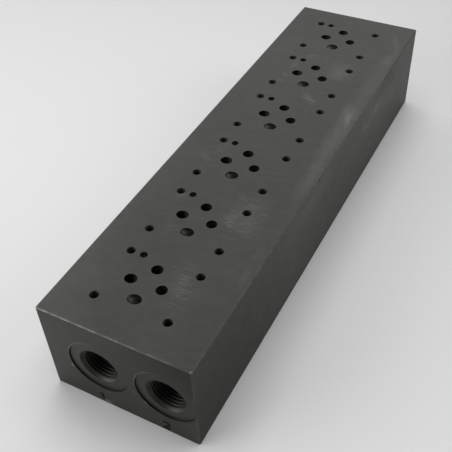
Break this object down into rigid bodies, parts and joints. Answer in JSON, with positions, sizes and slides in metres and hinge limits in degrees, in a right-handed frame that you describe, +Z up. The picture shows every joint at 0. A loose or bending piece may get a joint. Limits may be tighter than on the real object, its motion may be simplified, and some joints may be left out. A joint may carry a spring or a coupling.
{
  "type": "hydraulic manifold block",
  "caption": "Rectangular bar manifold of dark cast iron: valve patterns along the top, work ports in one side, supply ports in both ends.",
  "frame": {"origin": "centre of the underside", "axes": "+X towards the plain side, +Y along the bar away from the end whose stamped ports are seen first, +Z up out of the valve face"},
  "size_m": [0.085, 0.32, 0.06],
  "materials": {
    "phosphated_iron": "milled and phosphated, dark grey, dull"
  },
  "bodies": {
    "root": {"manifold_block": "phosphated_iron"}
  },
  "joints": []
}
